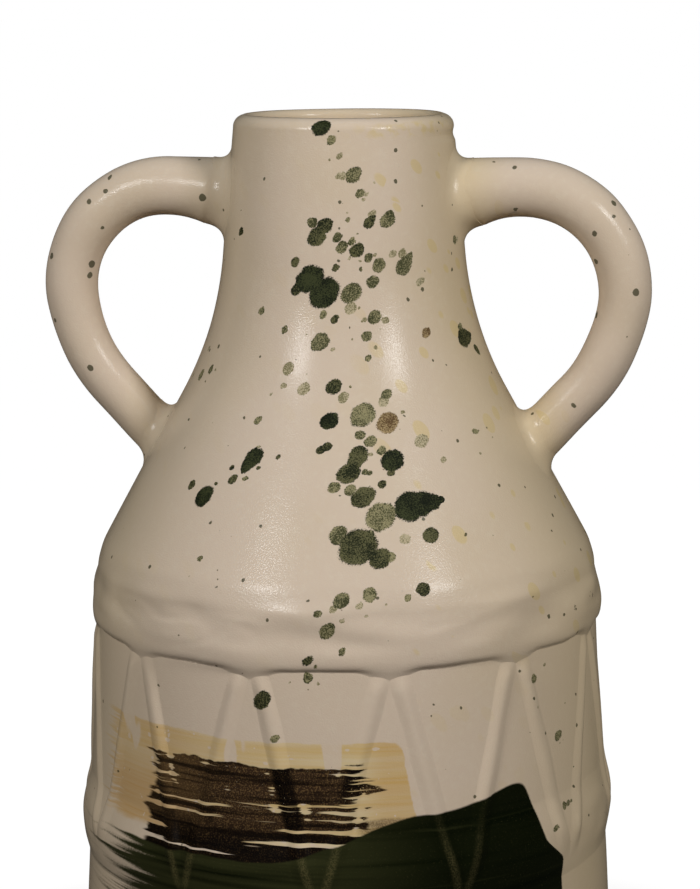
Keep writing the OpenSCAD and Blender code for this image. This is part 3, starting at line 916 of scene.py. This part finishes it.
def places(g, p):
    """Where a point lies for the brush: height, length round the wall, their waver, hairs and laces."""
    x, y, z = g.add("SeparateXYZ", {0: p}).node.outputs
    turn = g.math("ARCTAN2", x, g.product(y, -1.0))
    radius = g.math("SQRT", g.math("ADD", g.product(x, x), g.product(y, y)))
    from_face = g.math("SUBTRACT", turn, FACE_TURN)
    u = g.product(from_face, STROKE_R)
    slow = g.product(g.math("SUBTRACT", g.noise(p, 0.035, 1.0), 0.5), 6.0)
    quick = g.product(g.math("SUBTRACT", g.noise(p, 0.25, 3.0), 0.5), 2.4)
    near = g.math("ABSOLUTE", lace_distance(g, turn, z))
    foot = g.product(g.step(near, 2.8, 5.2), g.step(near, 9.0, 5.2))
    patchy = g.noise(g.combine(g.product(u, 0.055), g.product(z, 0.34), 7.0), 1.0, 1.5)
    return SimpleNamespace(
        p=p, z=z, u=u, radius=radius, near=near, foot=foot, slow=slow, quick=quick,
        arc=g.product(from_face, radius),
        zw=g.math("ADD", z, g.math("ADD", slow, quick)),
        missed=g.step(g.math("MULTIPLY_ADD", foot, 0.2, patchy), 0.81, 0.84),
        outside=g.step(radius, 98.5, 100.0),
        fine=g.noise(g.combine(g.product(u, 0.02), g.product(z, 0.9), 5.0), 1.0, 2.0),
        hair=g.noise(g.combine(g.product(u, 0.014), g.product(z, 0.4), 3.0), 1.0, 3.0),
        bristle=g.noise(g.combine(g.product(u, 0.007), g.product(z, 0.2), 9.0), 1.0, 2.0),
        grain=g.noise(p, 1.8, 2.0),
        patch=g.noise(p, 0.09, 1.0),
    )


def yellow_drops(g, at, color):
    """Thin yellow ovals leaning to the left, on the right of the pot, and a trace of it under the rim."""
    on_right = g.product(g.step(at.u, 0.0, 40.0, 0.1, 1.0), g.step(at.u, 300.0, 240.0))
    lean = g.combine(
        g.product(g.math("ADD", at.arc, at.z), 0.46), g.product(g.math("SUBTRACT", at.z, at.arc), 0.26), 0.0)
    ovals = g.product(g.spots(lean, 0.2, 1.0, 0.38, 0.08), g.step(at.z, 195.0, 212.0, 0.3, 1.0))
    trace = g.product(g.step(at.zw, 390.0, 394.0), g.step(at.zw, 399.0, 397.0), g.step(at.quick, -0.2, 0.4))
    haze = g.step(at.u, 20.0, 110.0, 0.0, 0.16)
    drops = g.product(g.math("MAXIMUM", ovals, trace), 0.5)
    return g.mix(g.product(g.math("MAXIMUM", drops, haze), on_right), color, YELLOW)


# Edges of the strokes: heights, and lengths along the wall from the middle of the face
OCHRE_TOP = 174.5
OCHRE_LOW = 135.5
OCHRE_LEFT = -90.0
OCHRE_RIGHT = 55.4
OCHRE_SLANT = 0.2
BROWN_TOP = 165.5
BROWN_LOW = 119.0
BROWN_LEFT = -86.5
BROWN_RIGHT = 8.0
BROWN_MIDDLE = -42.0
GREEN_LOW = 65.0
GREEN_LEFT = -110.0
GREEN_RIGHT = 74.5


def ochre_stroke(g, at):
    """Cover and colour of the thin ochre stroke: broken beside laces, streaked, slanting at the right."""
    waver = g.math("ADD", at.slow, at.quick)
    level = g.math("MULTIPLY_ADD", waver, 0.5, at.z)
    along = g.math("MULTIPLY_ADD", at.z, OCHRE_SLANT, g.math("ADD", at.u, waver))
    end = g.math("SUBTRACT", OCHRE_RIGHT, along)
    inside = g.math("SMOOTH_MIN", g.math("SUBTRACT", OCHRE_TOP, level), end, 6.0)
    upright = g.noise(g.combine(g.product(at.u, 0.1), g.product(at.z, 0.025), 4.0), 1.0, 1.0)
    skipped = g.product(g.step(upright, 0.6, 0.63), g.step(at.zw, 160.0, 166.0), g.step(at.u, 8.0, -4.0))
    pinholes = g.step(g.noise(at.p, 0.3, 2.0), 0.7, 0.73)
    cover = g.product(
        g.above(inside, 0.1, 0.4), g.above(at.zw, OCHRE_LOW, 1.5), at.outside,
        g.above(g.math("MULTIPLY_ADD", at.fine, 44.0, at.u), OCHRE_LEFT, 6.0),
        g.math("SUBTRACT", 1.0, g.math("MAXIMUM", g.product(at.missed, 0.85), pinholes)),
        g.math("SUBTRACT", 1.0, g.product(skipped, 0.9)),
        g.step(at.fine, 0.35, 0.6, 1.0, 0.8), g.step(at.u, -70.0, 10.0, 0.78, 0.95),
    )
    color = g.mix(g.step(at.bristle, 0.4, 0.62), OCHRE, OCHRE_PALE)
    low_left = g.product(g.step(at.zw, 164.0, 148.0, 0.45, 1.0), g.step(at.u, -52.0, -80.0))
    deep = g.math("MAXIMUM", low_left, g.step(at.u, 2.0, 16.0, 0.0, 0.5))
    return cover, g.mix(deep, color, OCHRE_DEEP)


def brown_stroke(g, at):
    """Cover and colour of the grainy brown stroke: dark over the laces, dry and torn at both ends."""
    dry = g.step(g.math("ABSOLUTE", g.math("SUBTRACT", at.u, BROWN_MIDDLE)), 18.0, 50.0)
    skips = g.product(at.foot, g.step(at.zw, 138.0, 152.0, 0.3, 1.0), g.step(at.patch, 0.46, 0.6))
    loaded = g.math("MULTIPLY_ADD", skips, -0.12, g.math("MULTIPLY_ADD", dry, -0.13, at.hair))
    tips = g.product(g.math("SUBTRACT", at.bristle, 0.5), 30.0)
    worn = g.step(at.u, -4.0, 9.0, 0.0, 0.1)
    full = g.step(at.zw, 146.0, 138.0, 0.0, 0.2)
    grainy = g.math("SUBTRACT", g.math("ADD", at.grain, full), worn)
    cover = g.product(
        g.below(at.zw, BROWN_TOP, 0.3), g.above(at.zw, BROWN_LOW, 1.0), at.outside,
        g.below(g.math("ADD", at.u, tips), BROWN_RIGHT, 1.0),
        g.above(g.math("MULTIPLY_ADD", tips, -0.9, at.u), BROWN_LEFT, 1.5),
        g.step(loaded, 0.34, 0.37), g.step(grainy, 0.2, 0.3),
    )
    wash = g.product(
        g.step(at.u, 2.0, 8.0), g.step(at.u, 27.0, 25.5),
        g.step(at.zw, 136.0, 138.0), g.step(at.zw, 147.0, 145.5),
        g.step(at.grain, 0.3, 0.7, 0.3, 0.75),
    )
    over_lace = g.product(g.step(at.near, 5.5, 2.5), g.step(g.noise(at.p, 0.03, 1.0), 0.35, 0.55))
    pooled = g.math("MAXIMUM", g.step(at.zw, 146.0, 136.0), over_lace)
    color = g.mix(g.step(at.grain, 0.45, 0.7, 0.0, 0.85), BROWN, TAN)
    color = g.mix(g.step(at.u, -45.0, -75.0, 0.0, 0.35), color, TAN)
    color = g.mix(g.step(at.hair, 0.48, 0.62, 0.0, 0.8), color, BROWN_DARK)
    color = g.mix(g.product(pooled, g.step(at.grain, 0.5, 0.75, 0.95, 0.7)), color, BROWN_DARK)
    return g.math("MAXIMUM", cover, wash), color


def green_stroke(g, at):
    """Cover and colour of the glossy green stroke: a hump at its right end, fine streaks at its left."""
    crest = g.math("ADD", g.step(at.u, -30.0, 28.0, 129.0, 146.5), g.step(at.u, 38.0, 68.0, 0.0, 6.0))
    fallen = g.math("MINIMUM", g.math("SUBTRACT", 151.0, at.z), 32.0)
    side = g.math("MULTIPLY_ADD", fallen, 0.36, GREEN_RIGHT)
    side = g.math("ADD", side, g.step(at.z, 129.0, 117.0, 0.0, 9.0))
    lifted = g.math("POWER", g.math("MAXIMUM", g.math("SUBTRACT", 94.0, at.z), 0.0), 1.5)
    torn = g.product(g.math("ADD", 1.0, g.math("ADD", at.bristle, at.hair)), lifted)
    side = g.math("MULTIPLY_ADD", torn, -0.12, side)
    under = g.math("SUBTRACT", crest, g.math("ADD", at.z, at.slow))
    inside = g.math("SMOOTH_MIN", under, g.math("SUBTRACT", side, g.math("ADD", at.u, at.slow)), 9.0)
    combed = g.math("MULTIPLY_ADD", at.hair, 0.7, g.product(g.math("ADD", at.fine, at.grain), 0.15))
    combed = g.math("ADD", combed, g.step(at.u, -130.0, -40.0, 0.0, 0.5))
    cover = g.product(
        g.step(inside, -0.4, 0.5), g.step(combed, 0.52, 0.7), at.outside,
        g.above(g.math("MULTIPLY_ADD", at.slow, 2.0, at.zw), GREEN_LOW, 1.0),
        g.above(g.math("MULTIPLY_ADD", at.bristle, 60.0, at.u), GREEN_LEFT, 15.0),
    )
    streaky = g.product(g.step(at.bristle, 0.27, 0.57), g.step(at.u, 40.0, -20.0, 0.1, 1.0))
    thin = g.math("MAXIMUM", streaky, g.step(combed, 1.0, 0.62))
    ridge = g.product(
        g.step(at.near, 2.4, 0.4), g.step(at.z, 108.0, 120.0), g.step(at.z, 146.0, 124.0, 0.25, 1.0),
        g.step(at.u, 60.0, 20.0, 0.35, 1.0), g.step(at.grain, 0.35, 0.65, 0.1, 0.6),
    )
    color = g.mix(thin, GREEN, GREEN_THIN)
    color = g.mix(g.step(at.grain, 0.6, 0.8, 0.0, 0.2), color, OLIVE)
    return cover, g.mix(ridge, color, OLIVE)


# Each dark stroke, with its roughness and how thick it lies
DARK_STROKES = [(brown_stroke, 0.25, 0.04), (green_stroke, 0.12, 0.05)]


def side_shade_and_yellow_drops(g, at, color):
    """Painted warm shade on the pot's sides, warmer the further they turn from its face, with the yellow
    drops.
    """
    # Painted shade: the pot turns warmer away from its face, as its shaded sides look warmer.
    color = g.mix(g.step(g.math("ABSOLUTE", at.u), 50.0, 135.0, 0.0, 0.5), color, CREAM_WARM)
    return yellow_drops(g, at, color)


def painted_glaze():
    """Glaze of the pot, splashed and painted with three broad strokes of a flat brush."""
    g = Graph("painted_glaze")
    p = in_millimetres(g)
    color, roughness, height = glaze_base(g, p)
    at = places(g, p)
    # Painted warm shade on the pot's sides, and the yellow drops.
    color = side_shade_and_yellow_drops(g, at, color)
    cover, stroke_color = ochre_stroke(g, at)
    color = g.mix(cover, color, stroke_color)
    color, roughness = splashed(g, p, color, roughness)
    for stroke, gloss, thickness in DARK_STROKES:
        cover, stroke_color = stroke(g, at)
        color = g.mix(cover, color, stroke_color)
        roughness = g.blend(cover, roughness, gloss)
        height = g.blend(g.product(cover, 0.8), height, thickness)
    return g.shade(color, roughness, height, **GLAZE_GLOSS)


def plain_glaze():
    """Glaze of the handles and the floor, with stray drops, and the pot's painted side shade and yellow
    drops where the handles spring.
    """
    g = Graph("plain_glaze")
    p = in_millimetres(g)
    color, roughness, height = glaze_base(g, p)
    at = places(g, p)
    root_r, root_z = (float(c) for c in lower_root)
    roots = {1: root_z, 2: HANDLE_Z, 3: root_r, 4: float(outer_r(HANDLE_Z))}
    from_wall = g.math("SUBTRACT", at.radius, g.add("MapRange", {0: at.z, **roots}))
    # Where the handles spring they take the pot's painted side shade and yellow drops.
    color = g.mix(g.step(from_wall, 24.0, 4.0), color, side_shade_and_yellow_drops(g, at, color))
    spots = g.product(g.spots(g.vector("ADD", p, wobble(g, p, 0.32, 1.4)), 0.13, 0.7, 0.22), 0.85)
    return g.shade(g.mix(spots, color, CURDS["mid"][0]), roughness, height, **GLAZE_GLOSS)


def bare_clay():
    """Unglazed stoneware of the foot, with dark grog."""
    g = Graph("bare_clay")
    p = in_millimetres(g)
    body = g.mix(g.step(g.noise(p, 0.05, 3.0), 0.35, 0.65), CLAY_PALE, CLAY_DEEP)
    grog = g.noise(p, 1.1, 4.0)
    color = g.mix(g.product(g.step(grog, 0.58, 0.72), 0.6), body, GROG)
    return g.shade(color, 0.85, g.product(grog, 0.12))


# The vase

painted = painted_glaze()
plain = plain_glaze()
drum_wall(painted)
shoulder_cone(painted)
neck_tube(painted)
rim_coil(painted)
drumhead_band(painted)
lower_hoop(painted)
for number in range(2 * LACE_POINTS):
    lace(number, painted)
base_slab(plain)
foot_ring(bare_clay())
for name, side in (("left", -1), ("right", 1)):
    handle(name + "_handle", side, plain)
    root_fillet(name + "_upper_fillet", side, upper_start, upper_way, ROOT_D / 2, 1.0, painted)
    root_fillet(name + "_lower_fillet", side, lower_start, lower_way, LOW_D / 2, 0.0, painted)

# Floor, light and background, in metres

FLOOR_SIZE = 60.0
FLOOR_COLOR = srgb("#2e2c2a")
FLOOR_SEEN_NEAR = 0.55
FLOOR_SEEN_FAR = 1.0
FLOOR_NEAR = 0.16
FLOOR_FAR = 0.3
FILL = (1.0, 0.85, 0.66, 1.0)
FILL_STRENGTH = 0.015
LAMP_AWAY = 1.2
LAMP_SIZE = 0.2
LAMP_AIM = Vector((0, 0, 0.26))
WHITE = (1.0, 1.0, 1.0)
SKY = (0.3, 0.6, 1.0)
# Name, turn from the face and climb in degrees, power, colour, and whether the glaze mirrors the lamp
LAMPS = [
    ("left_lamp", -39, 29, 7.4, WHITE, True),
    ("right_lamp", 42, 29, 8.1, WHITE, True),
    ("back_lamp", 180, 12, 15.0, WHITE, False),
    ("top_lamp", 0, 84, 1.2, SKY, False),
]


def studio_floor():
    """Floor that the camera sees as white, but for the shadow round the foot."""
    mesh = bpy.data.meshes.new("floor")
    half = FLOOR_SIZE / 2
    corners = [(-half, -half, 0), (half, -half, 0), (half, half, 0), (-half, half, 0)]
    mesh.from_pydata(corners, [], [(0, 1, 2, 3)])
    g = Graph("floor")
    away = g.vector("LENGTH", g.add("TexCoord", {}, "Object"), output="Value")
    white = g.step(away, FLOOR_NEAR, FLOOR_FAR, FLOOR_SEEN_NEAR, FLOOR_SEEN_FAR)
    lit = g.add("BsdfDiffuse", {"Color": FLOOR_COLOR})
    seen = g.add("Emission", {"Color": (1, 1, 1, 1), "Strength": white})
    both = g.add("AddShader", {0: lit, 1: seen})
    by_camera = g.add("LightPath", {}, "Is Camera Ray")
    mesh.materials.append(g.end(g.add("MixShader", {0: by_camera, 1: lit, 2: both})))
    floor = bpy.data.objects.new("floor", mesh)
    bpy.context.scene.collection.objects.link(floor)


def studio_world():
    """Weak, warm, even fill, seen by the camera as white."""
    world = bpy.data.worlds.new("studio")
    world.use_nodes = True
    nodes, links = world.node_tree.nodes, world.node_tree.links
    nodes.clear()
    fill = nodes.new("ShaderNodeBackground")
    fill.inputs["Color"].default_value = FILL
    fill.inputs["Strength"].default_value = FILL_STRENGTH
    white = nodes.new("ShaderNodeBackground")
    white.inputs["Color"].default_value = (1, 1, 1, 1)
    path = nodes.new("ShaderNodeLightPath")
    mix = nodes.new("ShaderNodeMixShader")
    out = nodes.new("ShaderNodeOutputWorld")
    links.new(path.outputs["Is Camera Ray"], mix.inputs[0])
    links.new(fill.outputs[0], mix.inputs[1])
    links.new(white.outputs[0], mix.inputs[2])
    links.new(mix.outputs[0], out.inputs["Surface"])
    bpy.context.scene.world = world


def studio_lamp(name, turn, climb, watts, color, mirrored):
    """Soft lamp that looks down at the vase and isn't seen itself."""
    light = bpy.data.lights.new(name, "AREA")
    light.size = LAMP_SIZE
    light.energy = watts
    light.color = color
    lamp = bpy.data.objects.new(name, light)
    rise = math.radians(climb)
    away = Vector(around(FACE_TURN + math.radians(turn), math.cos(rise), math.sin(rise)))
    lamp.location = LAMP_AIM + LAMP_AWAY * away
    lamp.rotation_euler = away.to_track_quat("Z", "Y").to_euler()
    lamp.visible_camera = False
    lamp.visible_glossy = mirrored
    bpy.context.scene.collection.objects.link(lamp)


studio_floor()
studio_world()
for lamp_settings in LAMPS:
    studio_lamp(*lamp_settings)
bpy.context.scene.view_settings.view_transform = "Standard"
